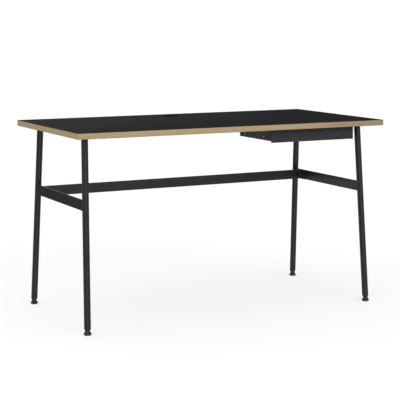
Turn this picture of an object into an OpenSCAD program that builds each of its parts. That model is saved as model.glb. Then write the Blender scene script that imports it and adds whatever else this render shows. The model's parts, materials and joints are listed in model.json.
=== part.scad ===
// Writing desk with one shallow drawer, in millimetres.
// +X runs along the desk towards the drawer's end, +Y towards the back, +Z up.
// The origin is on the floor, under the middle of the tabletop.

/* [Tabletop] */
// Length of the tabletop
top_length = 1300; // [1200:10:1400]
// Depth of the tabletop
top_depth = 650; // [620:10:700]
// Height of the working surface above the floor
desk_height = 740; // [720:5:760]
// Thickness of the plywood core
core_thickness = 20.2; // [18:0.2:24]
// Thickness of the black surface sheet
surface_thickness = 1; // [0.8:0.1:2]
// Thickness of the backing sheet
backing_thickness = 0.8; // [0.5:0.1:2]

/* [Cable port] */
// Clear diameter of the port's sleeve
port_bore = 56; // [40:1:60]
// Wall of the sleeve
port_wall = 2; // [1.5:0.5:3]
// How far the flange, let into the surface sheet, reaches past the sleeve
port_flange = 3; // [2:0.5:5]
// Place of the port along the desk, from the middle
port_x = -15; // [-60:1:60]
// Distance from the rear edge to the port's centre
port_inset = 89; // [70:1:100]

/* [Legs] */
// Outside diameter of the leg tubes
leg_diameter = 25; // [22:1:26]
// Wall of the leg tubes
leg_wall = 2; // [1.5:0.5:2.5]
// Distance from the top's end to a leg's axis, at the floor
foot_inset_x = 41.5; // [35:0.5:50]
// Distance from the top's long edge to a leg's axis, at the floor
foot_inset_y = 40.6; // [35:0.2:50]
// Distance from the top's end to a leg's axis, at the underside
head_inset_x = 61.8; // [58:0.2:66]
// Distance from the top's long edge to a leg's axis, at the underside
head_inset_y = 95.3; // [90:0.1:100]

/* [Bars] */
// Height of the lower edge of the side bars and the crossbar
bar_z = 448; // [400:1:480]
// Height of the side bars and the crossbar
bar_height = 40; // [30:1:45]
// Thickness of the side bars
side_bar_thickness = 6; // [5:0.5:8]
// Thickness of the crossbar
crossbar_thickness = 5; // [4:0.5:6]
// Distance from the rear edge to the middle of the crossbar
crossbar_inset = 125.6; // [120:0.2:140]
// Length of the end plates that bolt the crossbar to the side bars
tab_length = 45; // [40:1:60]
// Width of the rails under the top
rail_width = 40; // [34:1:44]
// Thickness of the rails under the top
rail_thickness = 5; // [4:0.5:6]
// Length of the rails under the top
rail_length = 530; // [500:5:560]

/* [Feet] */
// Largest diameter of a foot
foot_diameter = 28.5; // [26:0.5:35]
// Diameter of a foot's flat sole
sole_diameter = 21; // [18:0.5:24]
// Height of a foot's disc
foot_height = 11; // [9:0.5:12]
// Diameter of a foot's neck
neck_diameter = 19.5; // [17:0.5:22]
// Height of the top of the neck
neck_z = 21; // [19:0.5:22]
// Height of the lower end of the leg tubes
leg_end_z = 21.6; // [21.6:0.2:26]
// Radius of the levelling stud
stud_radius = 3.95; // [3:0.05:4.95]
// Length of the plug in the end of a leg
plug_length = 28; // [24:1:36]

/* [Drawer] */
// Place of the drawer's middle along the desk
drawer_x = 345.2; // [300:0.2:350]
// Width of the drawer front
front_width = 375; // [300:1:380]
// Height of the drawer front
front_height = 49.5; // [47:0.5:60]
// Thickness of the drawer front
front_thickness = 2; // [1.5:0.5:4]
// Corner radius of the drawer front
front_corner = 3; // [1:0.5:6]
// Height of the gap between the drawer front and the top's underside
front_gap = 2.5; // [2:0.5:4]
// Distance from the top's front edge to the drawer front
front_setback = 40; // [30:1:60]
// Outside height of the housing
housing_height = 44.8; // [44:0.2:55]
// Outside depth of the housing
housing_depth = 245; // [240:1:280]
// Width of the housing's screw flanges
flange_width = 14; // [12:1:20]
// Thickness of the housing's sheet
housing_sheet = 1.2; // [1:0.1:1.5]
// Thickness of the tray's sheet
tray_sheet = 1; // [0.8:0.1:1.2]
// Height of the tray's walls
tray_height = 28; // [24:1:32]
// Length of the tray
tray_length = 239; // [230:1:240]
// Height of the ball runners
runner_height = 20; // [20:0.5:22]
// Distance from the housing's wall to the tray, filled by the runner
runner_width = 10; // [10:0.5:12]
// Radius of the runner balls
ball_radius = 1.5; // [1.2:0.1:1.5]

/* [Hidden] */
$fn = 48;
SIDES = [-1, 1];
ENDS = [-1, 1];
SIDE_NAMES = ["left", "right"];
END_NAMES = ["front", "rear"];

top_thickness = surface_thickness + core_thickness + backing_thickness;
underside_z = desk_height - top_thickness;
core_z = underside_z + backing_thickness;
port_y = top_depth / 2 - port_inset;
port_outer_radius = port_bore / 2 + port_wall;
port_flange_radius = port_outer_radius + port_flange;

leg_radius = leg_diameter / 2;
foot_x = top_length / 2 - foot_inset_x;
foot_y = top_depth / 2 - foot_inset_y;
head_x = top_length / 2 - head_inset_x;
head_y = top_depth / 2 - head_inset_y;
leg_head_z = underside_z - rail_thickness;
side_tilt = atan((foot_x - head_x) / underside_z);
splay = atan((foot_y - head_y) * cos(side_tilt) / underside_z);

bar_middle_z = bar_z + bar_height / 2;
crossbar_y = top_depth / 2 - crossbar_inset;
crossbar_back_y = crossbar_y + crossbar_thickness / 2;
tab_front_y = crossbar_back_y - tab_length;
tab_bolt_ys = [tab_front_y + 10, tab_front_y + 27];
tab_face = side_bar_thickness / 2 + crossbar_thickness;
thread_play = 0.5;
bolt_play = 0.3;
drive_depth = 2;
hex_drive_radius = 2.3;
square_drive_radius = 1.5;
bolt_radius = 3;
bolt_head_radius = 5.25;
bolt_head_height = 3.3;
bolt_bite = 4.5;
washer_radius = 6.4;
washer_thickness = 1.2;

rail_screw_ys = [-180, 0, 180];
insert_radius = 4;
insert_length = 13;
rail_screw_head_radius = 6;
rail_screw_head_height = 3.6;
rail_screw_reach = 11;

front_y = front_setback - top_depth / 2;
front_back_y = front_y + front_thickness;
front_z = underside_z - front_gap - front_height;
housing_side_gap = 0.5;
housing_half = front_width / 2 - housing_side_gap;
housing_y = front_back_y + housing_side_gap;
housing_back_y = housing_y + housing_depth;
housing_z = underside_z - housing_height;
wall_half = housing_half - housing_sheet;
tray_half = wall_half - runner_width;
tray_floor_gap = 2.6;
tray_z = housing_z + housing_sheet + tray_floor_gap;
tray_y = front_back_y;
housing_screw_ys = [housing_y + 25, housing_y + housing_depth / 2, housing_back_y - 25];
housing_screw_radius = 2;
housing_screw_head_radius = 4;
housing_screw_head_height = 2.2;
housing_screw_bite = 14;

runner_z = housing_z + 13;
runner_sheet = 1;
ball_gap = 0.3;
race_gap = 2 * (ball_radius + ball_gap);
outer_runner_y = housing_y + 2.5;
outer_runner_length = 235;
outer_lip = 8;
inner_runner_y = housing_y + 1.5;
inner_runner_length = 230;
inner_leg = 7;
inner_runner_height = runner_height - 2 * runner_sheet - 2 * race_gap;
cage_sheet = 0.6;
cage_length = 48;
cage_middle_y = -165;
cage_web_gap = 0.7;
cage_flange = 5.5;
cage_height = runner_height - 2 * runner_sheet - race_gap + cage_sheet;
ball_half = tray_half + 4.8;
ball_pitch = 9.6;
ball_steps = [-2:2];
runner_screw_ys = [-226, -80];
runner_screw_radius = 2;
runner_screw_head_radius = 3.2;
runner_screw_head_height = 1.8;
rivet_ys = [-245, -95];
rivet_radius = 1.8;
rivet_head_radius = 3;
rivet_tail_radius = 2.4;
rivet_head_height = 0.8;

front_stud_xs = [-120, 0, 120];
front_stud_z = front_z + 26;
front_stud_radius = 2;
front_stud_length = 7;
front_nut_radius = 4.04;
front_nut_height = 2.5;
bumper_radius = 5;
bumper_length = 5;
bumper_x = 100;
bumper_z = tray_z + 14;
stud_clearance = 0.05;
stud_foot_depth = 12;
stud_top = 47;

BLACK = [0.17, 0.17, 0.17];
DRAWER_BLACK = [0.2, 0.2, 0.22];
PLYWOOD = [0.68, 0.61, 0.47];
PLASTIC = [0.12, 0.12, 0.12];
ZINC = [0.75, 0.76, 0.78];
STEEL = [0.62, 0.63, 0.65];
RUBBER = [0.1, 0.1, 0.1];

LEG_NODES = [for (prefix = ["leg", "leg_plug", "glide_stud", "glide_foot"])
             for (end = END_NAMES) for (side = SIDE_NAMES) str(prefix, "_", end, "_", side)];
SIDE_NODES = [for (prefix = ["side_bar", "top_rail", "crossbar_tab", "outer_runner", "inner_runner",
                             "ball_cage", "runner_balls"])
              for (side = SIDE_NAMES) str(prefix, "_", side)];

// Children are built for the right-hand end of the desk; side -1 mirrors them to the left.
module on_side(side) {
    mirror([side < 0 ? 1 : 0, 0, 0]) children();
}

// The plane of the right-hand pair of legs: x is its outward normal and z runs up its slope.
module leg_plane() {
    translate([foot_x, 0, 0]) rotate([0, -side_tilt, 0]) children();
}

// z runs up the axis of one leg, from the floor; end is -1 at the front and 1 at the rear.
module on_leg(side, end) {
    on_side(side) leg_plane() translate([0, end * foot_y, 0]) rotate([end * splay, 0, 0]) children();
}

// A level slab of the whole desk's plan, between two heights.
module level_slab(low, high) {
    translate([-top_length / 2, -top_depth / 2, low]) cube([top_length, top_depth, high - low]);
}

// Children are built for the drawer's right-hand wall; side -1 mirrors them to the left one.
module on_drawer_side(side) {
    translate([drawer_x, 0, 0]) on_side(side) children();
}

module port_hole(radius) {
    translate([port_x, port_y, underside_z - 1]) cylinder(r = radius, h = top_thickness + 2);
}

module rail_screw_places() {
    for (side = SIDES) for (y = rail_screw_ys) translate([side * head_x, y, 0]) children();
}

module housing_screw_places() {
    for (side = SIDES) for (y = housing_screw_ys)
        translate([drawer_x + side * (housing_half + flange_width / 2), y, 0]) children();
}

// z points away from the desk's middle, and starts on the centre plane of the side bar.
module tab_bolt_places(side) {
    up_slope = bar_middle_z / cos(side_tilt);
    for (y = tab_bolt_ys)
        on_side(side) leg_plane() translate([0, y, up_slope]) rotate([0, 90, 0]) children();
}

module fixing_holes(z, height) {
    rail_screw_places() translate([0, 0, z]) cylinder(r = insert_radius, h = height);
    housing_screw_places() translate([0, 0, z]) cylinder(r = housing_screw_radius, h = height);
}

module tabletop_core() {
    color(PLYWOOD) difference() {
        level_slab(core_z, core_z + core_thickness);
        port_hole(port_outer_radius);
        rail_screw_places() translate([0, 0, underside_z]) cylinder(r = insert_radius, h = insert_length);
        housing_screw_places() translate([0, 0, underside_z])
            cylinder(r = housing_screw_radius, h = housing_screw_bite);
    }
}

module tabletop_surface() {
    color(BLACK) difference() {
        level_slab(desk_height - surface_thickness, desk_height);
        port_hole(port_flange_radius);
    }
}

module tabletop_backing() {
    color(BLACK) difference() {
        level_slab(underside_z, core_z);
        port_hole(port_outer_radius);
        fixing_holes(underside_z - 1, backing_thickness + 2);
    }
}

module cable_port_sleeve() {
    color(PLASTIC) translate([port_x, port_y, 0]) difference() {
        union() {
            translate([0, 0, underside_z]) cylinder(r = port_outer_radius, h = top_thickness);
            translate([0, 0, desk_height - surface_thickness])
                cylinder(r = port_flange_radius, h = surface_thickness);
        }
        translate([0, 0, underside_z - 1]) cylinder(d = port_bore, h = top_thickness + 2);
    }
}

module leg(side, end) {
    color(BLACK) intersection() {
        on_leg(side, end) difference() {
            cylinder(r = leg_radius, h = desk_height);
            translate([0, 0, -1]) cylinder(r = leg_radius - leg_wall, h = desk_height + 2);
        }
        level_slab(leg_end_z, leg_head_z);
    }
}

module leg_plug(side, end) {
    color(PLASTIC) intersection() {
        on_leg(side, end) difference() {
            cylinder(r = leg_radius - leg_wall, h = desk_height);
            translate([0, 0, -1]) cylinder(r = stud_radius + stud_clearance, h = desk_height);
        }
        level_slab(leg_end_z, leg_end_z + plug_length);
    }
}

module glide_stud(side, end) {
    color(ZINC) on_leg(side, end) translate([0, 0, stud_foot_depth])
        cylinder(r = stud_radius, h = stud_top - stud_foot_depth);
}

// Half of the foot's outline: a flat sole, a rounded rim as half an ellipse, and a straight neck.
module foot_profile() {
    rim = (foot_diameter - sole_diameter) / 2;
    rim_points = [for (a = [-90:15:90])
                  [sole_diameter / 2 + rim * cos(a), foot_height / 2 * (1 + sin(a))]];
    polygon(concat([[0, 0]], rim_points,
                   [[neck_diameter / 2, foot_height], [neck_diameter / 2, neck_z], [0, neck_z]]));
}

module glide_foot(side, end) {
    rise = foot_height / underside_z;
    color(PLASTIC) difference() {
        translate([side * (foot_x - (foot_x - head_x) * rise), end * (foot_y - (foot_y - head_y) * rise), 0])
            rotate_extrude() foot_profile();
        on_leg(side, end) translate([0, 0, stud_foot_depth]) cylinder(r = stud_radius, h = stud_top);
    }
}

module side_bar(side) {
    bar_half = foot_y - (foot_y - head_y) * bar_middle_z / underside_z - leg_radius / 2;
    color(BLACK) difference() {
        intersection() {
            on_side(side) leg_plane() translate([-side_bar_thickness / 2, -bar_half, 0])
                cube([side_bar_thickness, 2 * bar_half, underside_z]);
            level_slab(bar_z, bar_z + bar_height);
        }
        for (end = ENDS) on_leg(side, end) cylinder(r = leg_radius, h = desk_height);
        tab_bolt_places(side) translate([0, 0, -side_bar_thickness])
            cylinder(r = bolt_radius, h = side_bar_thickness / 2 + bolt_bite + thread_play);
    }
}

module top_rail(side) {
    color(BLACK) difference() {
        translate([side * head_x - rail_width / 2, -rail_length / 2, leg_head_z])
            cube([rail_width, rail_length, rail_thickness]);
        rail_screw_places() translate([0, 0, leg_head_z - 1])
            cylinder(r = bolt_radius + bolt_play, h = rail_thickness + 2);
    }
}

module crossbar() {
    color(BLACK) difference() {
        translate([-foot_x, crossbar_back_y - crossbar_thickness, bar_z])
            cube([2 * foot_x, crossbar_thickness, bar_height]);
        for (side = SIDES) on_side(side) leg_plane() translate([-tab_face, 0, 0])
            cube([foot_inset_x, top_depth / 2, desk_height]);
    }
}

// The plate welded across one end of the crossbar, flush with its back.
module crossbar_tab(side) {
    color(BLACK) difference() {
        intersection() {
            on_side(side) leg_plane() translate([-tab_face, tab_front_y, 0])
                cube([crossbar_thickness, tab_length, underside_z]);
            level_slab(bar_z, bar_z + bar_height);
        }
        tab_bolt_places(side) translate([0, 0, -2 * tab_face])
            cylinder(r = bolt_radius + bolt_play, h = 2 * tab_face);
    }
}

module crossbar_bolts() {
    under_head = tab_face + washer_thickness;
    color(BLACK) for (side = SIDES) tab_bolt_places(side) difference() {
        translate([0, 0, -under_head]) union() {
            cylinder(r = bolt_radius, h = under_head - side_bar_thickness / 2 + bolt_bite);
            translate([0, 0, -bolt_head_height]) cylinder(r = bolt_head_radius, h = bolt_head_height);
        }
        translate([0, 0, -under_head - bolt_head_height - 1])
            cylinder(r = hex_drive_radius, h = drive_depth + 1, $fn = 6);
    }
}

module crossbar_washers() {
    color(BLACK) for (side = SIDES) tab_bolt_places(side) translate([0, 0, -tab_face - washer_thickness])
        difference() {
            cylinder(r = washer_radius, h = washer_thickness);
            translate([0, 0, -1]) cylinder(r = bolt_radius + bolt_play, h = washer_thickness + 2);
        }
}

module rail_screws() {
    color(ZINC) rail_screw_places() translate([0, 0, leg_head_z]) difference() {
        union() {
            cylinder(r = bolt_radius, h = rail_thickness + rail_screw_reach);
            translate([0, 0, -rail_screw_head_height])
                cylinder(r = rail_screw_head_radius, h = rail_screw_head_height);
        }
        translate([0, 0, -rail_screw_head_height - 1])
            cylinder(r = hex_drive_radius, h = drive_depth + 1, $fn = 6);
    }
}

module rail_inserts() {
    color(ZINC) rail_screw_places() translate([0, 0, underside_z]) difference() {
        cylinder(r = insert_radius, h = insert_length);
        translate([0, 0, -1]) cylinder(r = bolt_radius, h = insert_length + 2);
    }
}

module drawer_housing() {
    color(DRAWER_BLACK) difference() {
        union() {
            difference() {
                translate([drawer_x - housing_half, housing_y, housing_z])
                    cube([2 * housing_half, housing_depth, housing_height]);
                translate([drawer_x - wall_half, housing_y - 1, housing_z + housing_sheet])
                    cube([2 * wall_half, housing_depth - housing_sheet + 1, housing_height]);
            }
            for (side = SIDES) on_drawer_side(side)
                translate([housing_half, housing_y, underside_z - housing_sheet])
                    cube([flange_width, housing_depth, housing_sheet]);
        }
        housing_screw_places() translate([0, 0, underside_z - housing_sheet - 1])
            cylinder(r = housing_screw_radius + bolt_play, h = housing_sheet + 2);
        runner_screw_places() translate([0, 0, -housing_sheet - 1])
            cylinder(r = runner_screw_radius, h = housing_sheet + 2);
    }
}

module housing_screws() {
    color(BLACK) housing_screw_places() translate([0, 0, underside_z - housing_sheet]) difference() {
        union() {
            cylinder(r = housing_screw_radius, h = housing_sheet + housing_screw_bite - thread_play);
            translate([0, 0, -housing_screw_head_height])
                cylinder(r = housing_screw_head_radius, h = housing_screw_head_height);
        }
        translate([0, 0, -housing_screw_head_height - 1])
            cylinder(r = square_drive_radius, h = housing_screw_head_height, $fn = 4);
    }
}

// z points outwards from the outer face of the housing's side walls.
module runner_screw_places() {
    for (side = SIDES) for (y = runner_screw_ys)
        on_drawer_side(side) translate([housing_half, y, runner_z]) rotate([0, 90, 0]) children();
}

// z points inwards from the inner face of the tray's side walls.
module rivet_places() {
    for (side = SIDES) for (y = rivet_ys)
        on_drawer_side(side) translate([tray_half - tray_sheet, y, runner_z]) rotate([0, -90, 0]) children();
}

// y points into the drawer from the back of its front plate.
module front_stud_places() {
    for (x = front_stud_xs)
        translate([drawer_x + x, front_back_y, front_stud_z]) rotate([-90, 0, 0]) children();
}

module drawer_tray() {
    color(DRAWER_BLACK) difference() {
        translate([drawer_x - tray_half, tray_y, tray_z]) cube([2 * tray_half, tray_length, tray_height]);
        translate([drawer_x - tray_half + tray_sheet, tray_y + tray_sheet, tray_z + tray_sheet])
            cube([2 * (tray_half - tray_sheet), tray_length - 2 * tray_sheet, tray_height]);
        rivet_places() translate([0, 0, -tray_sheet - 1]) cylinder(r = rivet_radius, h = tray_sheet + 2);
        front_stud_places() translate([0, 0, -1])
            cylinder(r = front_stud_radius + bolt_play, h = tray_sheet + 2);
    }
}

// A rectangle in X and Y with four round corners.
module rounded_plate(width, height, corner) {
    translate([corner, 0]) square([width - 2 * corner, height]);
    translate([0, corner]) square([width, height - 2 * corner]);
    for (x = [corner, width - corner]) for (y = [corner, height - corner])
        translate([x, y]) circle(r = corner);
}

module drawer_front() {
    color(DRAWER_BLACK) union() {
        translate([drawer_x - front_width / 2, front_back_y, front_z]) rotate([90, 0, 0])
            linear_extrude(height = front_thickness) rounded_plate(front_width, front_height, front_corner);
        front_stud_places() cylinder(r = front_stud_radius, h = front_stud_length);
    }
}

module drawer_front_nuts() {
    color(ZINC) front_stud_places() translate([0, 0, tray_sheet]) difference() {
        cylinder(r = front_nut_radius, h = front_nut_height, $fn = 6);
        translate([0, 0, -1]) cylinder(r = front_stud_radius, h = front_nut_height + 2);
    }
}

// A channel along y, of a height in z, lying between two distances from the drawer's middle.
// Its web is at the first distance, and its two legs reach to the second.
module channel(web_at, legs_to, y, length, height, sheet) {
    low = min(web_at, legs_to);
    inward = legs_to > web_at ? sheet : -sheet;
    translate([0, y, runner_z - height / 2]) difference() {
        translate([low, 0, 0]) cube([abs(legs_to - web_at), length, height]);
        translate([low + inward, -1, sheet]) cube([abs(legs_to - web_at), length + 2, height - 2 * sheet]);
    }
}

module outer_runner(side) {
    color(ZINC) difference() {
        on_drawer_side(side) channel(wall_half, wall_half - outer_lip, outer_runner_y,
                                     outer_runner_length, runner_height, runner_sheet);
        runner_screw_places() translate([0, 0, -housing_sheet - runner_sheet - 1])
            cylinder(r = runner_screw_radius, h = runner_sheet + 2);
    }
}

module inner_runner(side) {
    color(ZINC) difference() {
        on_drawer_side(side) channel(tray_half, tray_half + inner_leg, inner_runner_y,
                                     inner_runner_length, inner_runner_height, runner_sheet);
        rivet_places() translate([0, 0, -tray_sheet - runner_sheet - 1])
            cylinder(r = rivet_radius, h = runner_sheet + 2);
    }
}

module ball_places(side) {
    row_rise = (cage_height - cage_sheet) / 2;
    for (step = ball_steps) for (level = [-1, 1])
        on_drawer_side(side)
            translate([ball_half, cage_middle_y + step * ball_pitch, runner_z + level * row_rise]) children();
}

module ball_cage(side) {
    cage_web = wall_half - runner_sheet - cage_web_gap;
    color(STEEL) difference() {
        on_drawer_side(side) channel(cage_web, cage_web - cage_flange, cage_middle_y - cage_length / 2,
                                     cage_length, cage_height, cage_sheet);
        ball_places(side) translate([0, 0, -1]) cylinder(r = ball_radius + 0.05, h = 2);
    }
}

module runner_balls(side) {
    color(STEEL) ball_places(side) sphere(r = ball_radius);
}

module outer_runner_screws() {
    color(ZINC) runner_screw_places() difference() {
        union() {
            translate([0, 0, -housing_sheet - runner_sheet])
                cylinder(r = runner_screw_radius, h = housing_sheet + runner_sheet);
            cylinder(r = runner_screw_head_radius, h = runner_screw_head_height);
        }
        translate([0, 0, runner_screw_head_height / 2])
            cylinder(r = square_drive_radius, h = runner_screw_head_height, $fn = 4);
    }
}

module inner_runner_rivets() {
    color(STEEL) rivet_places() union() {
        translate([0, 0, -tray_sheet - runner_sheet])
            cylinder(r = rivet_radius, h = tray_sheet + runner_sheet);
        cylinder(r = rivet_head_radius, h = rivet_head_height);
        translate([0, 0, -tray_sheet - runner_sheet - rivet_head_height])
            cylinder(r = rivet_tail_radius, h = rivet_head_height);
    }
}

module drawer_bumpers() {
    color(RUBBER) for (side = SIDES)
        on_drawer_side(side) translate([bumper_x, housing_back_y - housing_sheet, bumper_z])
            rotate([90, 0, 0]) cylinder(r = bumper_radius, h = bumper_length);
}

tabletop_core();
tabletop_surface();
tabletop_backing();
cable_port_sleeve();
leg(-1, -1);  // leg_front_left
leg(1, -1);  // leg_front_right
leg(-1, 1);  // leg_rear_left
leg(1, 1);  // leg_rear_right
leg_plug(-1, -1);  // leg_plug_front_left
leg_plug(1, -1);  // leg_plug_front_right
leg_plug(-1, 1);  // leg_plug_rear_left
leg_plug(1, 1);  // leg_plug_rear_right
glide_stud(-1, -1);  // glide_stud_front_left
glide_stud(1, -1);  // glide_stud_front_right
glide_stud(-1, 1);  // glide_stud_rear_left
glide_stud(1, 1);  // glide_stud_rear_right
glide_foot(-1, -1);  // glide_foot_front_left
glide_foot(1, -1);  // glide_foot_front_right
glide_foot(-1, 1);  // glide_foot_rear_left
glide_foot(1, 1);  // glide_foot_rear_right
side_bar(-1);  // side_bar_left
side_bar(1);  // side_bar_right
top_rail(-1);  // top_rail_left
top_rail(1);  // top_rail_right
crossbar();
crossbar_tab(-1);  // crossbar_tab_left
crossbar_tab(1);  // crossbar_tab_right
crossbar_bolts();
crossbar_washers();
rail_screws();
rail_inserts();
drawer_housing();
housing_screws();
drawer_tray();
drawer_front();
drawer_front_nuts();
outer_runner(-1);  // outer_runner_left
outer_runner(1);  // outer_runner_right
inner_runner(-1);  // inner_runner_left
inner_runner(1);  // inner_runner_right
ball_cage(-1);  // ball_cage_left
ball_cage(1);  // ball_cage_right
runner_balls(-1);  // runner_balls_left
runner_balls(1);  // runner_balls_right
outer_runner_screws();
inner_runner_rivets();
drawer_bumpers();
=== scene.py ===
import json
import math

import bmesh
import bpy
from mathutils import Matrix, Vector


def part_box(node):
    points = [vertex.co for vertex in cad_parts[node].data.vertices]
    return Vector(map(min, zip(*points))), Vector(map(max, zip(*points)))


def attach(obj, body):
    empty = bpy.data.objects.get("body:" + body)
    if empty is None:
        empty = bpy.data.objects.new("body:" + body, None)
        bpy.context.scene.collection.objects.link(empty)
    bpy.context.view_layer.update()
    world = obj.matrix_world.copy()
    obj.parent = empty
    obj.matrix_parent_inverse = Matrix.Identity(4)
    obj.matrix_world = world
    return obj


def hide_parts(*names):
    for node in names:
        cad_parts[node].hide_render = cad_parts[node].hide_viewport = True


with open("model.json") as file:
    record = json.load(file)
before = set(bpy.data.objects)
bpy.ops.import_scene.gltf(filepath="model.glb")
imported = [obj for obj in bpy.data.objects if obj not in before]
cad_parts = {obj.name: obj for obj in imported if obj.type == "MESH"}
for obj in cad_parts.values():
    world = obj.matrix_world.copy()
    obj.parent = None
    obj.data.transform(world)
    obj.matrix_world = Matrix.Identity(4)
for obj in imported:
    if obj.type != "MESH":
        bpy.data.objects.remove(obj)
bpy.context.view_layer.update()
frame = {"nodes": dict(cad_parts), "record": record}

# ---------------------------------------------------------------- driving sizes, in metres
MM = 0.001
SIDES = {"left": -1, "right": 1}
ENDS = {"front": -1, "rear": 1}

# Leg axes, where they meet the floor and the underside of the top
FOOT_X, FOOT_Y = 608.5 * MM, 284.4 * MM
HEAD_X, HEAD_Y = 588.2 * MM, 229.7 * MM
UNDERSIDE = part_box("tabletop_backing")[0].z
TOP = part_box("tabletop_surface")[1].z
LEG_RADIUS = 12.5 * MM
LEG_WALL = 2 * MM
SIDE_BAR = 6 * MM
TAB = 5 * MM
TAB_BOLTS = (10 * MM, 27 * MM)
RAIL_SCREWS = (-180 * MM, 0, 180 * MM)

CORE_LOW, CORE_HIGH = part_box("tabletop_core")
PORT_LOW, PORT_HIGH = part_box("cable_port_sleeve")
PORT_CENTRE = ((PORT_LOW.x + PORT_HIGH.x) / 2, (PORT_LOW.y + PORT_HIGH.y) / 2)
PORT_BORE = 28 * MM
PORT_OUTER = 30 * MM
PORT_FLANGE = (PORT_HIGH.x - PORT_LOW.x) / 2
TOP_CORNER = 2.5 * MM

BAR_LOW, BAR_HIGH = (c.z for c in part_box("crossbar"))
CROSSBAR_FRONT, CROSSBAR_BACK = (c.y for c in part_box("crossbar"))

HOUSING_LOW, HOUSING_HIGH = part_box("drawer_housing")
HOUSING_SHEET = 1.2 * MM
HOUSING_BEND = 1.8 * MM
FLANGE = 14 * MM
TRAY_LOW, TRAY_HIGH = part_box("drawer_tray")
TRAY_SHEET = 1 * MM
TRAY_BEND = 1.5 * MM
FRONT_LOW, FRONT_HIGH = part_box("drawer_front")
FRONT_THICKNESS = 2 * MM
FRONT_STUDS = (-120 * MM, 0, 120 * MM)
STUD_RISE = 26 * MM
DRAWER_X = (FRONT_LOW.x + FRONT_HIGH.x) / 2
RUNNER_SHEET = 1 * MM
RUNNER_BEND = 1.5 * MM
CAGE_SHEET = 0.6 * MM
CAGE_BEND = 0.9 * MM
BALLS_PER_ROW = 5

SIDE_TILT = math.atan2(FOOT_X - HEAD_X, UNDERSIDE)
SLOPE = UNDERSIDE / math.cos(SIDE_TILT)
SPLAY = math.atan2(FOOT_Y - HEAD_Y, SLOPE)

# The bars' heights measured up the slope of a pair of legs
BAR_SLOPE_LOW, BAR_SLOPE_HIGH = BAR_LOW / math.cos(SIDE_TILT), BAR_HIGH / math.cos(SIDE_TILT)
# How far an end plate's inner face is from the leg plane
TAB_FACE = SIDE_BAR / 2 + TAB

# Rim radii of the top's layers
CUT_EDGE = 0.02 * MM
SHEET_EDGE = 0.45 * MM


# ---------------------------------------------------------------- materials
def node(tree, kind, sockets=None, **settings):
    """Adds a shader node. sockets maps input names or numbers to values or to other nodes' outputs."""
    made = tree.nodes.new("ShaderNode" + kind)
    for key, value in settings.items():
        setattr(made, key, value)
    for key, value in (sockets or {}).items():
        if isinstance(value, bpy.types.NodeSocket):
            tree.links.new(value, made.inputs[key])
        else:
            made.inputs[key].default_value = value
    return made


def ramp(tree, factor, stops):
    """A colour ramp over factor; stops are (position, grey or rgb)."""
    made = node(tree, "ValToRGB", {"Fac": factor})
    elements = made.color_ramp.elements
    while len(elements) < len(stops):
        elements.new(0.5)
    for element, (position, colour) in zip(elements, stops):
        element.position = position
        rgb = colour if isinstance(colour, tuple) else (colour,) * 3
        element.color = (*rgb, 1)
    return made.outputs["Color"]


def noise(tree, scale, detail=3.0, roughness=0.5, stretch=(1, 1, 1)):
    """Noise in the piece's own coordinates; scale is in cycles per metre along an unstretched axis."""
    place = node(tree, "TexCoord").outputs["Object"]
    if stretch != (1, 1, 1):
        place = node(tree, "Mapping", {"Vector": place, "Scale": stretch}).outputs["Vector"]
    sockets = {"Vector": place, "Scale": scale, "Detail": detail, "Roughness": roughness}
    return node(tree, "TexNoise", sockets).outputs["Fac"]


def maths(tree, operation, *values):
    return node(tree, "Math", dict(enumerate(values)), operation=operation).outputs[0]


def mix(tree, share, first, second, blend="MIX"):
    """Blends two colours; share says how much of the second."""
    sockets = {0: share, 6: first, 7: second}
    return node(tree, "Mix", sockets, data_type="RGBA", blend_type=blend).outputs[2]


def span(tree, value, start, end, clamp=True):
    """How far a value is from start (0) to end (1)."""
    sockets = {"Value": value, "From Min": start, "From Max": end}
    return node(tree, "MapRange", sockets, clamp=clamp).outputs["Result"]


def bump(tree, height, distance, strength=1.0, under=None):
    sockets = {"Height": height, "Distance": distance, "Strength": strength}
    if under is not None:
        sockets["Normal"] = under
    return node(tree, "Bump", sockets).outputs["Normal"]


def finish_of(name, **values):
    """A material with one Principled shader, whose constant values go on its own sockets."""
    material = bpy.data.materials.new(name)
    material.use_nodes = True
    shader = material.node_tree.nodes["Principled BSDF"]
    for key, value in values.items():
        shader.inputs[key.replace("_", " ")].default_value = value
    return material, material.node_tree, shader


def wire(tree, shader, **sockets):
    for key, value in sockets.items():
        tree.links.new(value, shader.inputs[key.replace("_", " ")])


def powder_coat(name, dark, light, rough=(0.27, 0.35), shine=0.25):
    """Fine-textured powder coat on steel: cloudy tone, a little uneven gloss, and orange peel."""
    material, tree, shader = finish_of(name, Specular_IOR_Level=shine)
    cloud = noise(tree, 38, 4)
    grain = noise(tree, 1500, 2)
    peel = noise(tree, 420, 3)
    tone = ramp(tree, cloud, [(0.3, dark), (0.7, light)])
    gloss = ramp(tree, grain, [(0.35, rough[0]), (0.65, rough[1])])
    normal = bump(tree, peel, 0.06 * MM, 0.35, bump(tree, grain, 0.03 * MM, 0.3))
    wire(tree, shader, Base_Color=tone, Roughness=gloss, Normal=normal)
    return material


def desktop_sheet():
    """Matt black desktop linoleum: a soft mottle, a very fine tooth and faint long rub marks."""
    material, tree, shader = finish_of("desktop_sheet", Specular_IOR_Level=0.015)
    mottle = noise(tree, 55, 6, 0.62)
    tooth = noise(tree, 2600, 2)
    rub = noise(tree, 14, 4, 0.6, stretch=(1, 9, 1))
    tone = ramp(tree, mottle, [(0.25, (0.0122, 0.0122, 0.0124)), (0.75, (0.0157, 0.0157, 0.0159))])
    gloss = ramp(tree, rub, [(0.3, 0.55), (0.7, 0.68)])
    normal = bump(tree, tooth, 0.04 * MM, 0.5)
    wire(tree, shader, Base_Color=tone, Roughness=gloss, Normal=normal)
    return material


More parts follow.
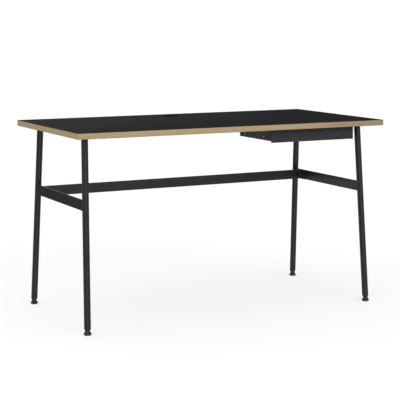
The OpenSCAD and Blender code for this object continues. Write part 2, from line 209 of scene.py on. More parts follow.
def plywood(plies=13):
    """Oiled birch plywood edge: plies lie in z, every other one shows end grain, with thin glue lines.

    The veneers turn a little darker and redder towards the right end.
    """
    material, tree, shader = finish_of("birch_plywood", Specular_IOR_Level=0.3)
    place = node(tree, "TexCoord").outputs["Object"]
    position = node(tree, "SeparateXYZ", {"Vector": place})
    waver = maths(tree, "MULTIPLY", noise(tree, 9, 2), 0.5 * MM)
    height = maths(tree, "ADD", position.outputs["Z"], waver)
    pitch = (CORE_HIGH.z - CORE_LOW.z) / plies
    ply = span(tree, height, CORE_LOW.z, CORE_LOW.z + pitch, clamp=False)
    crossing = maths(tree, "GREATER_THAN", maths(tree, "FLOORED_MODULO", ply, 2.0), 1.0)
    within = maths(tree, "FRACT", ply)
    facing = node(tree, "SeparateXYZ", {"Vector": node(tree, "NewGeometry").outputs["Normal"]})
    end_on = maths(tree, "GREATER_THAN", maths(tree, "ABSOLUTE", facing.outputs["X"]), 0.5)
    swap = maths(tree, "ABSOLUTE", maths(tree, "SUBTRACT", crossing, end_on))
    streak = noise(tree, 26, 5, 0.6, stretch=(1, 1, 42))
    pores = noise(tree, 950, 3, 0.65, stretch=(1, 1, 0.7))
    long_grain = ramp(tree, streak, [(0.28, (0.262, 0.191, 0.091)), (0.5, (0.342, 0.266, 0.14)),
                                     (0.72, (0.386, 0.309, 0.173))])
    end_grain = ramp(tree, pores, [(0.3, (0.171, 0.115, 0.051)), (0.62, (0.287, 0.212, 0.107))])
    wood = mix(tree, swap, long_grain, end_grain)
    glue = ramp(tree, within, [(0.0, 0.62), (0.07, 1.0), (0.93, 1.0), (1.0, 0.62)])
    wood = mix(tree, 1.0, wood, glue, "MULTIPLY")
    # Darker and redder towards the right end of the top.
    rightward_tone = span(tree, position.outputs["X"], 0.28, 0.45)
    rightward_tone = ramp(tree, rightward_tone, [(0.0, (1.0, 1.0, 1.0)), (1.0, (0.84, 0.78, 0.85))])
    wood = mix(tree, 1.0, wood, rightward_tone, "MULTIPLY")
    gloss = ramp(tree, streak, [(0.3, 0.5), (0.7, 0.62)])
    normal = bump(tree, pores, 0.05 * MM, 0.5)
    wire(tree, shader, Base_Color=wood, Roughness=gloss, Normal=normal)
    return material


def plated_steel(name, base, rough):
    """Zinc-plated or polished steel with fine brushing and faint passivation clouds."""
    material, tree, shader = finish_of(name, Metallic=1.0)
    cloud = noise(tree, 240, 3)
    brush = noise(tree, 700, 3, 0.6, stretch=(1, 0.08, 1))
    tone = ramp(tree, cloud, [(0.3, tuple(0.82 * c for c in base)), (0.7, base)])
    gloss = ramp(tree, brush, [(0.3, rough[0]), (0.7, rough[1])])
    normal = bump(tree, brush, 0.02 * MM, 0.3)
    wire(tree, shader, Base_Color=tone, Roughness=gloss, Normal=normal)
    return material


def moulded(name, dark, light, rough, shine, texture=900):
    """Moulded plastic or rubber with a spark-eroded texture."""
    material, tree, shader = finish_of(name, Specular_IOR_Level=shine)
    speckle = noise(tree, texture, 3, 0.6)
    cloud = noise(tree, 60, 3)
    tone = ramp(tree, cloud, [(0.3, dark), (0.7, light)])
    gloss = ramp(tree, speckle, [(0.35, rough[0]), (0.65, rough[1])])
    normal = bump(tree, speckle, 0.06 * MM, 0.5)
    wire(tree, shader, Base_Color=tone, Roughness=gloss, Normal=normal)
    return material


FINISHES = {
    "top_surface": desktop_sheet(),
    "plywood": plywood(),
    "frame_black": powder_coat("frame_powder_coat", 0.0075, 0.0105),
    "drawer_black": powder_coat("drawer_powder_coat", (0.0225, 0.0216, 0.0246), (0.0297, 0.0288, 0.0325),
                                shine=0.08),
    "black_plastic": moulded("moulded_nylon", 0.013, 0.018, (0.4, 0.52), 0.22),
    # The port sleeve is near-black and almost glossless, much darker than the other black plastic: painted
    # shade that deepens the bore.
    "port_painted_shade": moulded("port_painted_shade", 0.002, 0.0035, (0.6, 0.75), 0.015),
    "black_fastener": powder_coat("black_zinc", 0.012, 0.018, (0.24, 0.36)),
    "zinc": plated_steel("bright_zinc", (0.66, 0.67, 0.69), (0.2, 0.34)),
    "ball_steel": plated_steel("ball_steel", (0.72, 0.72, 0.73), (0.05, 0.1)),
    "rubber": moulded("rubber", 0.012, 0.019, (0.7, 0.85), 0.12, 500),
}


# ---------------------------------------------------------------- shapes
def piece(name, bm, body, slot, stands_for, sharp=35, finish=None):
    """Turns a bmesh into a piece of the object: smooth up to an angle, finished and riding on its body.

    stands_for names the CAD nodes that it replaces. finish is for a look other than its material slot's own.
    """
    bmesh.ops.recalc_face_normals(bm, faces=bm.faces)
    mesh = bpy.data.meshes.new(name)
    bm.to_mesh(mesh)
    bm.free()
    mesh.shade_smooth()
    mesh.set_sharp_from_angle(angle=math.radians(sharp))
    obj = bpy.data.objects.new(name, mesh)
    bpy.context.scene.collection.objects.link(obj)
    mesh.materials.append(FINISHES[finish or slot])
    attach(obj, body)
    if stands_for:
        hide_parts(*stands_for)
    return obj


def circle(steps):
    """The cosines and sines of equal steps round a circle."""
    for step in range(steps):
        angle = 2 * math.pi * step / steps
        yield math.cos(angle), math.sin(angle)


def quarter(steps, first=0, last=None):
    """Angles through a right angle, from the first to the last of a number of steps."""
    for step in range(first, (steps if last is None else last) + 1):
        yield math.pi / 2 * step / steps


def join(bm, rings):
    """Faces between each ring of vertices and the next."""
    for near, far in zip(rings, rings[1:]):
        for i in range(len(near)):
            j = (i + 1) % len(near)
            bm.faces.new((near[i], near[j], far[j], far[i]))


def skin(bm, rings, round_trip=False):
    """A skin over rings of points, capped at both ends.

    round_trip joins the last ring to the first instead, as round a tube's wall.
    """
    made = [[bm.verts.new(p) for p in ring] for ring in rings]
    if round_trip:
        join(bm, made + made[:1])
        return
    join(bm, made)
    bm.faces.new(made[0])
    bm.faces.new(made[-1])


def turn(bm, profile, place, steps=48, round_trip=False, shape=None):
    """Turns a profile of (radius, height) points about the z axis of place.

    shape(angle, level) scales the radius of one of the profile's points.
    """
    rings = []
    for level, (radius, height) in enumerate(profile):
        ring = []
        for i in range(steps):
            a = 2 * math.pi * i / steps
            r = radius * (shape(a, level) if shape else 1)
            ring.append(place @ Vector((r * math.cos(a), r * math.sin(a), height)))
        rings.append(ring)
    skin(bm, rings, round_trip)


def rounded(width, depth, corner, steps=5):
    """Outline of a rectangle about the origin with round corners."""
    points = []
    for cx, cy, start in ((1, 1, 0), (-1, 1, 90), (-1, -1, 180), (1, -1, 270)):
        for step in range(steps + 1):
            a = math.radians(start + 90 * step / steps)
            points.append((cx * (width / 2 - corner) + corner * math.cos(a),
                           cy * (depth / 2 - corner) + corner * math.sin(a)))
    return points


def eased(low, high, low_radius, high_radius, steps=4):
    """Levels (height, inset) of a plate whose two rims are rounded off."""
    levels = []
    for a in quarter(steps):
        levels.append((low + low_radius * (1 - math.cos(a)), low_radius * (1 - math.sin(a))))
    for a in reversed(list(quarter(steps))):
        levels.append((high - high_radius * (1 - math.cos(a)), high_radius * (1 - math.sin(a))))
    return levels


def plate(bm, outline, levels, place=Matrix.Identity(4), hole=None):
    """A plate built of rings of its outline; outline and hole give points for an inset."""
    walls = []
    for shape in filter(None, (outline, hole)):
        rings = [[bm.verts.new(place @ Vector((x, y, z))) for x, y in shape(inset)] for z, inset in levels]
        join(bm, rings)
        walls.append(rings)
    for end in (0, -1):
        if hole is None:
            bm.faces.new(walls[0][end])
            continue
        edges = []
        for rings in walls:
            ring = rings[end]
            edges += [bm.edges.get((ring[i], ring[(i + 1) % len(ring)])) for i in range(len(ring))]
        bmesh.ops.triangle_fill(bm, use_beauty=True, edges=edges)


def box_outline(width, depth, corner, centre=(0, 0)):
    """An outline function for plate(): a rounded rectangle that shrinks with its inset."""
    def points(inset):
        tightest = 0.05 * MM
        flat = rounded(width - 2 * inset, depth - 2 * inset, max(corner - inset, tightest))
        return [(centre[0] + x, centre[1] + y) for x, y in flat]
    return points


def round_hole(radius, centre, steps=96):
    """A hole function for plate(): a circle that grows with its inset."""
    def points(inset):
        size = radius + inset
        return [(centre[0] + size * x, centre[1] + size * y) for x, y in circle(steps)]
    return points


def mirrored(side):
    return Matrix.Scale(-1, 4, (1, 0, 0)) if side < 0 else Matrix.Identity(4)


def leg_plane(side):
    """The plane of one pair of legs: x is its outward normal, and z runs up its slope."""
    return mirrored(side) @ Matrix.Translation((FOOT_X, 0, 0)) @ Matrix.Rotation(-SIDE_TILT, 4, "Y")


def leg_axis(side, end, z):
    rise = z / UNDERSIDE
    return Vector((side * (FOOT_X - (FOOT_X - HEAD_X) * rise), end * (FOOT_Y - (FOOT_Y - HEAD_Y) * rise), z))


def leg_ring(side, end, z, radius, steps=64):
    """A level cut through a cylinder round one leg's axis."""
    centre = leg_axis(side, end, z)
    along = (leg_axis(side, end, 1) - leg_axis(side, end, 0)).normalized()
    across = along.cross(Vector((0, 1, 0))).normalized()
    other = along.cross(across)
    ring = []
    for x, y in circle(steps):
        spoke = radius * (across * x + other * y)
        ring.append(centre + spoke - along * (spoke.z / along.z))
    return ring


def bead(bm, path, radius, ripple=2.2 * MM, steps=10):
    """A weld bead round a closed path: overlapping ripples, one every ripple length."""
    steep = 0.9
    waist, swell = 0.9, 0.14
    rings = []
    travelled = 0.0
    for i, point in enumerate(path):
        along = (path[(i + 1) % len(path)] - path[i - 1]).normalized()
        across = along.orthogonal() if abs(along.z) > steep else along.cross(Vector((0, 0, 1)))
        across.normalize()
        other = along.cross(across)
        if i:
            travelled += (point - path[i - 1]).length
        thick = radius * (waist + swell * abs(math.sin(math.pi * travelled / ripple)))
        rings.append([point + thick * (across * x + other * y) for x, y in circle(steps)])
    skin(bm, rings, round_trip=True)


def hexagon(angle):
    """How far a hexagon's edge is at an angle, with flats one unit from the middle."""
    within = (angle + math.pi / 6) % (math.pi / 3) - math.pi / 6
    return 1 / math.cos(within)


def lobes(angle):
    """A six-lobed drive recess."""
    depth = 0.13
    return 1 + depth * math.cos(6 * angle)


def cross_recess(angle):
    """A cross-shaped drive recess."""
    web = 0.5
    return web + (1 - web) * abs(math.cos(2 * angle)) ** 2.5


def screw(bm, place, head_radius, head_height, shank_radius, shank_length, drive, drive_radius, dome=0.6):
    """A domed screw. z points out of its head, whose seat is at z = 0, and the shank runs down from there.

    dome is the share of the head's height that is domed.
    """
    point = 0.4 * MM
    profile = [(shank_radius * 0.8, -shank_length), (shank_radius, -shank_length + point),
               (shank_radius, 0.0), (head_radius * 0.97, 0.0), (head_radius, 0.12 * head_height)]
    rim_z = head_height * (1 - dome)
    domed = head_radius - drive_radius * 1.25
    for a in quarter(6, 1, 5):
        profile.append((head_radius - domed * (1 - math.cos(a)), rim_z + (head_height - rim_z) * math.sin(a)))
    profile.append((drive_radius * 1.22, head_height))
    recess = [(drive_radius * 1.04, head_height - 0.05 * MM), (drive_radius, head_height - 0.25 * MM),
              (drive_radius * 0.94, head_height * 0.4)]
    first_drive = len(profile)

    def shape(angle, level):
        return drive(angle) if level >= first_drive else 1
    turn(bm, profile + recess, place, 48, shape=shape)


CROSSBAR_BOLT = dict(head_radius=5.25 * MM, head_height=3.3 * MM, shank_radius=3 * MM, shank_length=10.5 * MM,
                     drive=hexagon, drive_radius=2 * MM, dome=0.8)
RAIL_SCREW = dict(head_radius=6 * MM, head_height=3.6 * MM, shank_radius=3 * MM, shank_length=15 * MM,
                  drive=hexagon, drive_radius=2 * MM, dome=0.8)
RUNNER_SCREW = dict(head_radius=3.2 * MM, head_height=1.8 * MM, shank_radius=2 * MM, shank_length=2.2 * MM,
                    drive=cross_recess, drive_radius=1.7 * MM)
HOUSING_SCREW = dict(head_radius=4 * MM, head_height=2.2 * MM, shank_radius=2 * MM, shank_length=14.7 * MM,
                     drive=lobes, drive_radius=1.5 * MM)


def about(point, towards):
    """A place whose z axis points in a direction."""
    return Matrix.Translation(point) @ Vector(towards).to_track_quat("Z", "Y").to_matrix().to_4x4()


# ---------------------------------------------------------------- tabletop
def tabletop():
    """Three layers with the port's hole through them.

    The surface's upper edge and the backing's lower edge are eased.
    """
    size_x, size_y = CORE_HIGH.x - CORE_LOW.x, CORE_HIGH.y - CORE_LOW.y
    outline = box_outline(size_x, size_y, TOP_CORNER)
    layers = {
        "tabletop_core": ("plywood", PORT_OUTER, CUT_EDGE, CUT_EDGE),
        "tabletop_surface": ("top_surface", PORT_FLANGE, CUT_EDGE, SHEET_EDGE),
        "tabletop_backing": ("top_surface", PORT_OUTER, SHEET_EDGE, CUT_EDGE),
    }
    for name, (slot, hole, low_ease, high_ease) in layers.items():
        low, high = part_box(name)
        bm = bmesh.new()
        plate(bm, outline, eased(low.z, high.z, low_ease, high_ease), hole=round_hole(hole, PORT_CENTRE))
        piece(name + "_finished", bm, "frame", slot, [name])


def cable_port():
    """The sleeve: a flange let in flush with the surface, a rolled lip into the bore, and a chamfer below."""
    lip, ease, chamfer = 1.6 * MM, 0.3 * MM, 0.6 * MM
    flange_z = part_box("tabletop_surface")[0].z
    profile = [(PORT_OUTER, PORT_LOW.z), (PORT_OUTER, flange_z), (PORT_FLANGE, flange_z),
               (PORT_FLANGE, TOP - ease), (PORT_FLANGE - ease, TOP)]
    for a in quarter(6):
        profile.append((PORT_BORE + lip * (1 - math.sin(a)), TOP - lip * (1 - math.cos(a))))
    profile += [(PORT_BORE, PORT_LOW.z + chamfer), (PORT_BORE + chamfer, PORT_LOW.z)]
    bm = bmesh.new()
    turn(bm, profile, Matrix.Translation((*PORT_CENTRE, 0)), 96, round_trip=True)
    # Its finish is the near-black port plastic: painted shade in the bore.
    piece("cable_port_sleeve_finished", bm, "frame", "black_plastic", ["cable_port_sleeve"],
          finish="port_painted_shade")


# ---------------------------------------------------------------- frame
def legs():
    """Tubes cut level at both ends, with the foot end's outer edge rounded."""
    for side_name, side in SIDES.items():
        for end_name, end in ENDS.items():
            name = f"leg_{end_name}_{side_name}"
            low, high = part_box(name)
            ease = 0.5 * MM
            inner = LEG_RADIUS - LEG_WALL
            levels = [(low.z, inner), (low.z, LEG_RADIUS - ease),
                      (low.z + 0.3 * ease, LEG_RADIUS - 0.3 * ease), (low.z + ease, LEG_RADIUS),
                      (high.z, LEG_RADIUS), (high.z, inner)]
            bm = bmesh.new()
            skin(bm, [leg_ring(side, end, z, radius) for z, radius in levels], round_trip=True)
            piece(name + "_tube", bm, "frame", "frame_black", [name])


def bar_end(z_slope, x):
    """Where a side bar's end meets the leg, along y, at a height up the leg plane and an offset x from it."""
    axis_y = FOOT_Y - z_slope * math.tan(SPLAY)
    return axis_y - math.sqrt(LEG_RADIUS ** 2 - x ** 2) / math.cos(SPLAY)


def side_bars(welds):
    """The flat bar across each pair of legs, its ends cut to the round legs and welded all round."""
    height = BAR_SLOPE_HIGH - BAR_SLOPE_LOW
    middle = (BAR_SLOPE_LOW + BAR_SLOPE_HIGH) / 2
    corner, bury = 1.0 * MM, 0.4 * MM
    profile = rounded(SIDE_BAR, height, corner)
    weld_radius, weld_bury, weld_step = 1.35 * MM, 0.3 * MM, 0.8 * MM
    stand_off = 0.6 * MM
    weld_line = rounded(SIDE_BAR + 2 * stand_off, height + 2 * stand_off, corner + stand_off, 4)
    for side_name, side in SIDES.items():
        place = leg_plane(side)
        name = f"side_bar_{side_name}"
        rings = [[place @ Vector((x, end * (bar_end(middle + z, x) + bury), middle + z)) for x, z in profile]
                 for end in ENDS.values()]
        bm = bmesh.new()
        skin(bm, rings)
        piece(name + "_bar", bm, "frame", "frame_black", [name])
        for end in ENDS.values():
            path = []
            for i, (x, z) in enumerate(weld_line):
                x2, z2 = weld_line[(i + 1) % len(weld_line)]
                cuts = max(1, round(math.hypot(x2 - x, z2 - z) / weld_step))
                for c in range(cuts):
                    u, v = x + (x2 - x) * c / cuts, z + (z2 - z) * c / cuts
                    path.append(place @ Vector((u, end * (bar_end(middle + v, u) - weld_bury), middle + v)))
            bead(welds, path, weld_radius)


def top_rails(welds):
    """The flat bar over each pair of legs, with a weld round the head of each leg."""
    weld_radius, weld_drop, weld_clear = 1.5 * MM, 0.4 * MM, 0.5 * MM
    corner, lower_edge, upper_edge = 5 * MM, 0.7 * MM, 0.2 * MM
    for side_name, side in SIDES.items():
        name = f"top_rail_{side_name}"
        low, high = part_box(name)
        centre = ((low.x + high.x) / 2, 0)
        bm = bmesh.new()
        plate(bm, box_outline(high.x - low.x, high.y - low.y, corner, centre),
              eased(low.z, high.z, lower_edge, upper_edge))
        piece(name + "_bar", bm, "frame", "frame_black", [name])
        for end in ENDS.values():
            bead(welds, leg_ring(side, end, low.z - weld_drop, LEG_RADIUS + weld_clear, 96), weld_radius)


def crossbar(welds):
    """The flat crossbar between its two end plates, with a fillet weld in each inner corner."""
    middle_y, middle_z = (CROSSBAR_FRONT + CROSSBAR_BACK) / 2, (BAR_LOW + BAR_HIGH) / 2
    profile = rounded(CROSSBAR_BACK - CROSSBAR_FRONT, BAR_HIGH - BAR_LOW, 0.9 * MM)

    def reach(z):
        return FOOT_X - TAB_FACE / math.cos(SIDE_TILT) - z * math.tan(SIDE_TILT)
    rings = [[Vector((side * reach(middle_z + z), middle_y + y, middle_z + z)) for y, z in profile]
             for side in SIDES.values()]
    bm = bmesh.new()
    skin(bm, rings)
    piece("crossbar_bar", bm, "frame", "frame_black", ["crossbar"])
    # A plate's own x runs along the desk's y, its y up the slope, and its z out along the leg plane's normal.
    turned = Matrix(((0, 0, 1, 0), (1, 0, 0, 0), (0, 1, 0, 0), (0, 0, 0, 1)))
    corner, inner_edge, outer_edge = 2.5 * MM, 0.6 * MM, 0.2 * MM
    for side_name, side in SIDES.items():
        name = f"crossbar_tab_{side_name}"
        low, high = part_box(name)
        outline = box_outline(high.y - low.y, BAR_SLOPE_HIGH - BAR_SLOPE_LOW, corner,
                              ((low.y + high.y) / 2, (BAR_SLOPE_LOW + BAR_SLOPE_HIGH) / 2))
        levels = eased(-TAB_FACE, -SIDE_BAR / 2, inner_edge, outer_edge)
        bm = bmesh.new()
        plate(bm, outline, levels, leg_plane(side) @ turned)
        piece(name + "_plate", bm, "frame", "frame_black", [name])
        fillet(welds, side, reach)


def fillet(bm, side, reach, leg=5.5 * MM, ripple=2.4 * MM):
    """A concave fillet weld down the inner corner between the crossbar's front face and its end plate.

    It swells and shrinks by the ripple, and tapers at both ends.
    """
    bury, margin = 0.3 * MM, 1.2 * MM
    mean, swell = 0.965, 0.035
    stub = 0.45
    steps, taper_steps = 96, 6
    rings = []
    for i in range(steps + 1):
        z = BAR_LOW + margin + (BAR_HIGH - BAR_LOW - 2 * margin) * i / steps
        taper = stub + (1 - stub) * math.sqrt(min(1, min(i, steps - i) / taper_steps))
        size = leg * (mean + swell * math.cos(2 * math.pi * z / ripple)) * taper
        corner = Vector((side * reach(z), CROSSBAR_FRONT, z))
        ring = [corner + Vector((side * bury, bury, 0)), corner + Vector((side * bury, -size, 0))]
        for a in quarter(8):
            ring.append(corner + Vector((-side * size * (1 - math.cos(a)), -size * (1 - math.sin(a)), 0)))
        ring.append(corner + Vector((-side * size, bury, 0)))
        rings.append(ring)
    skin(bm, rings)


def frame_fasteners():
    """Button-head bolts with washers through the end plates, and the rails' screws into the top."""
    bolts, washers, rail_screws = bmesh.new(), bmesh.new(), bmesh.new()
    bore, radius, thickness, ease = 3.3 * MM, 6.4 * MM, 1.2 * MM, 0.2 * MM
    washer = [(bore, 0), (radius - ease, 0), (radius, ease), (radius, thickness - ease),
              (radius - ease, thickness), (bore, thickness)]
    tab_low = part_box("crossbar_tab_right")[0].y
    slope_z = (BAR_SLOPE_LOW + BAR_SLOPE_HIGH) / 2
    rail_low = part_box("top_rail_right")[0].z
    inward = Matrix.Rotation(-math.pi / 2, 4, "Y")
    for side in SIDES.values():
        for y in TAB_BOLTS:
            seat = leg_plane(side) @ Matrix.Translation((-TAB_FACE, tab_low + y, slope_z)) @ inward
            turn(washers, washer, seat, 48, round_trip=True)
            screw(bolts, seat @ Matrix.Translation((0, 0, thickness)), **CROSSBAR_BOLT)
        for y in RAIL_SCREWS:
            screw(rail_screws, about((side * HEAD_X, y, rail_low), (0, 0, -1)), **RAIL_SCREW)
    piece("crossbar_bolts_m6", bolts, "frame", "black_fastener", ["crossbar_bolts"])
    piece("crossbar_washers_m6", washers, "frame", "black_fastener", ["crossbar_washers"])
    piece("rail_screws_m6", rail_screws, "frame", "zinc", ["rail_screws"])


def feet():
    """Moulded levelling feet: a level disc with a rounded rim, blended into a chamfered neck."""
    rim, sole, disc, neck = 14.25 * MM, 10.5 * MM, 11 * MM, 9.75 * MM
    blend = 0.75 * MM
    for side_name in SIDES:
        for end_name in ENDS:
            name = f"glide_foot_{end_name}_{side_name}"
            low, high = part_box(name)
            centre = Vector(((low.x + high.x) / 2, (low.y + high.y) / 2, 0))
            profile = [(sole - 1.2 * MM, 0.35 * MM), (sole - 0.6 * MM, 0)]
            for step in range(17):
                a = math.radians(-90 + 180 * step / 16)
                profile.append((sole + (rim - sole) * math.cos(a), disc / 2 * (1 + math.sin(a))))
            for a in quarter(5, 1):
                profile.append((neck + blend * (1 - math.sin(a)), disc + blend * (1 - math.cos(a))))
            profile += [(neck, high.z - 1 * MM), (neck - 0.25 * MM, high.z - 0.35 * MM),
                        (neck - 0.9 * MM, high.z)]
            bm = bmesh.new()
            turn(bm, profile, Matrix.Translation(centre), 64)
            piece(f"levelling_foot_{end_name}_{side_name}", bm, f"glide_{end_name}_{side_name}",
                  "black_plastic", [name])


# ---------------------------------------------------------------- drawer
def bevel(obj, name, width, segments, angle):
    """Rounds the edges that turn by more than an angle."""
    made = obj.modifiers.new(name, "BEVEL")
    made.width = width
    made.segments = segments
    made.limit_method = "ANGLE"
    made.angle_limit = math.radians(angle)


def folded(name, faces, thickness, bend, body, slot, stands_for):
    """Bent sheet: flat outer faces given by their corners, rounded at their folds and thickened inwards."""
    bm = bmesh.new()
    corners = {}

    def corner(point):
        """The one vertex that neighbouring faces share at a point."""
        key = tuple(round(c, 7) for c in point)
        if key not in corners:
            corners[key] = bm.verts.new(point)
        return corners[key]
    for face in faces:
        bm.faces.new([corner(point) for point in face])
    obj = piece(name, bm, body, slot, stands_for, sharp=40)
    bevel(obj, "folds", bend, segments=5, angle=30)
    wall = obj.modifiers.new("sheet", "SOLIDIFY")
    wall.thickness = thickness
    wall.offset = -1
    wall.use_even_offset = True
    bevel(obj, "rims", 0.2 * MM, segments=2, angle=50)


def housing():
    """A tray-shaped sheet, open in front, hung from the top by a flange along each side."""
    left, right = HOUSING_LOW.x + FLANGE, HOUSING_HIGH.x - FLANGE
    front, back = HOUSING_LOW.y, HOUSING_HIGH.y
    floor, brim = HOUSING_LOW.z, HOUSING_HIGH.z - HOUSING_SHEET
    outer_left, outer_right = left - FLANGE, right + FLANGE
    faces = [
        [(left, front, floor), (left, back, floor), (right, back, floor), (right, front, floor)],
        [(left, front, brim), (left, back, brim), (left, back, floor), (left, front, floor)],
        [(right, front, floor), (right, back, floor), (right, back, brim), (right, front, brim)],
        [(left, back, floor), (left, back, brim), (right, back, brim), (right, back, floor)],
        [(outer_left, front, brim), (outer_left, back, brim), (left, back, brim), (left, front, brim)],
        [(right, front, brim), (right, back, brim), (outer_right, back, brim), (outer_right, front, brim)],
    ]
    folded("drawer_housing_sheet", faces, HOUSING_SHEET, HOUSING_BEND, "frame", "drawer_black",
           ["drawer_housing"])


def tray():
    """The drawer's box, folded from one sheet."""
    (x0, y0, z0), (x1, y1, z1) = TRAY_LOW, TRAY_HIGH
    faces = [
        [(x0, y0, z0), (x0, y1, z0), (x1, y1, z0), (x1, y0, z0)],
        [(x0, y0, z1), (x0, y1, z1), (x0, y1, z0), (x0, y0, z0)],
        [(x1, y0, z0), (x1, y1, z0), (x1, y1, z1), (x1, y0, z1)],
        [(x0, y1, z0), (x0, y1, z1), (x1, y1, z1), (x1, y1, z0)],
        [(x0, y0, z1), (x0, y0, z0), (x1, y0, z0), (x1, y0, z1)],
    ]
    folded("drawer_tray_sheet", faces, TRAY_SHEET, TRAY_BEND, "drawer", "drawer_black", ["drawer_tray"])


def drawer_front():
    """The front plate with three weld studs on its back, and the nuts that hold the tray on them."""
    back = FRONT_LOW.y + FRONT_THICKNESS
    # The plate's own x and y are the desk's x and z, and its z runs back along y.
    turned = Matrix(((1, 0, 0, 0), (0, 0, 1, 0), (0, 1, 0, 0), (0, 0, 0, 1)))
    corner, outer_edge, inner_edge = 3 * MM, 0.5 * MM, 0.3 * MM
    outline = box_outline(FRONT_HIGH.x - FRONT_LOW.x, FRONT_HIGH.z - FRONT_LOW.z, corner,
                          (DRAWER_X, (FRONT_LOW.z + FRONT_HIGH.z) / 2))
    bm, nuts = bmesh.new(), bmesh.new()
    plate(bm, outline, eased(FRONT_LOW.y, back, outer_edge, inner_edge), turned)
    stud = [(2 * MM, 0), (2 * MM, 6.6 * MM), (1.6 * MM, 7 * MM)]
    bore, flat, thickness, ease = 2.05 * MM, 3.5 * MM, 2.5 * MM, 0.3 * MM
    nut = [(bore, 0), (flat - ease, 0), (flat, ease), (flat, thickness - ease), (flat - ease, thickness),
           (bore, thickness)]

    def six_sided(angle, level):
        return hexagon(angle) if level in (2, 3) else 1
    for x in FRONT_STUDS:
        place = about((DRAWER_X + x, back, FRONT_LOW.z + STUD_RISE), (0, 1, 0))
        turn(bm, stud, place, 32)
        turn(nuts, nut, place @ Matrix.Translation((0, 0, TRAY_SHEET)), 48, round_trip=True, shape=six_sided)
    piece("drawer_front_plate", bm, "drawer", "drawer_black", ["drawer_front"])
    piece("drawer_front_nuts_m4", nuts, "drawer", "zinc", ["drawer_front_nuts"])


def channel(name, node_name, body, opens_out, side, sheet, bend):
    """A rolled channel along y in place of a CAD node.

    opens_out says whether its open side faces away from the drawer's middle.
    """
    low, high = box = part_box(node_name)
    outward = side > 0
    rims = box[outward == opens_out].x
    web = box[outward != opens_out].x
    faces = [[(rims, low.y, low.z), (rims, high.y, low.z), (web, high.y, low.z), (web, low.y, low.z)],
             [(web, low.y, low.z), (web, high.y, low.z), (web, high.y, high.z), (web, low.y, high.z)],
             [(web, low.y, high.z), (web, high.y, high.z), (rims, high.y, high.z), (rims, low.y, high.z)]]
    if web < rims:
        faces = [face[::-1] for face in faces]
    folded(name, faces, sheet, bend, body, "zinc", [node_name])


def runners():
    """Ball runners: an outer and an inner channel on each side, with a ball cage between them."""
    for side_name, side in SIDES.items():
        cage = f"ball_cage_{side_name}"
        channel(f"outer_runner_channel_{side_name}", f"outer_runner_{side_name}", "frame", False, side,
                RUNNER_SHEET, RUNNER_BEND)
        channel(f"inner_runner_channel_{side_name}", f"inner_runner_{side_name}", "drawer", True, side,
                RUNNER_SHEET, RUNNER_BEND)
        channel(f"ball_cage_strip_{side_name}", cage, cage, False, side, CAGE_SHEET, CAGE_BEND)
        low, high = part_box(f"runner_balls_{side_name}")
        radius = (high.x - low.x) / 2
        balls = bmesh.new()
        for row in (low.z + radius, high.z - radius):
            for step in range(BALLS_PER_ROW):
                y = low.y + radius + (high.y - low.y - 2 * radius) * step / (BALLS_PER_ROW - 1)
                bmesh.ops.create_uvsphere(balls, u_segments=24, v_segments=14, radius=radius,
                                          matrix=Matrix.Translation(((low.x + high.x) / 2, y, row)))
        piece(f"runner_ball_set_{side_name}", balls, cage, "ball_steel", [f"runner_balls_{side_name}"])


def drawer_fasteners():
    """Pan-head screws in the housing's walls and flanges, rivets in the tray's walls, and rubber bumpers."""
    wall_screws, flange_screws, rivets, bumpers = (bmesh.new() for _ in range(4))
    half = (HOUSING_HIGH.x - HOUSING_LOW.x) / 2 - FLANGE
    tray_inner = (TRAY_HIGH.x - TRAY_LOW.x) / 2 - TRAY_SHEET
    brim = HOUSING_HIGH.z - HOUSING_SHEET
    runner_low, runner_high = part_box("outer_runner_screws")
    runner_z = (runner_low.z + runner_high.z) / 2
    runner_ys = (runner_low.y + RUNNER_SCREW["head_radius"], runner_high.y - RUNNER_SCREW["head_radius"])
    flange_low, flange_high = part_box("housing_screws")
    flange_ys = (flange_low.y + HOUSING_SCREW["head_radius"], (flange_low.y + flange_high.y) / 2,
                 flange_high.y - HOUSING_SCREW["head_radius"])
    rivet_low, rivet_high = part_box("inner_runner_rivets")
    rivet_head = 3 * MM
    rivet = [(1.8 * MM, -2.4 * MM), (2.4 * MM, -2.6 * MM), (2.4 * MM, -2.05 * MM), (1.8 * MM, -2 * MM),
             (1.8 * MM, 0), (rivet_head, 0), (2.95 * MM, 0.25 * MM), (2.4 * MM, 0.6 * MM),
             (1.3 * MM, 0.78 * MM), (0.5 * MM, 0.8 * MM)]
    bumper_low, bumper_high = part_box("drawer_bumpers")
    radius = (bumper_high.z - bumper_low.z) / 2
    bumper = [(radius, 0), (radius, 3 * MM), (radius * 0.92, 4 * MM), (radius * 0.7, 4.7 * MM),
              (radius * 0.3, 5 * MM)]
    for side in SIDES.values():
        for y in runner_ys:
            screw(wall_screws, about((DRAWER_X + side * half, y, runner_z), (side, 0, 0)), **RUNNER_SCREW)
        for y in flange_ys:
            seat = (DRAWER_X + side * (half + FLANGE / 2), y, brim)
            screw(flange_screws, about(seat, (0, 0, -1)), **HOUSING_SCREW)
        for y in (rivet_low.y + rivet_head, rivet_high.y - rivet_head):
            turn(rivets, rivet, about((DRAWER_X + side * tray_inner, y, runner_z), (-side, 0, 0)), 32)
        x = (bumper_high.x - radius) if side > 0 else (bumper_low.x + radius)
        turn(bumpers, bumper, about((x, bumper_high.y, (bumper_low.z + bumper_high.z) / 2), (0, -1, 0)), 40)
    piece("runner_screws_m4", wall_screws, "frame", "zinc", ["outer_runner_screws"])
    piece("housing_screws_m4", flange_screws, "frame", "black_fastener", ["housing_screws"])
    piece("runner_rivets", rivets, "drawer", "zinc", ["inner_runner_rivets"])
    piece("rear_bumpers", bumpers, "frame", "rubber", ["drawer_bumpers"])


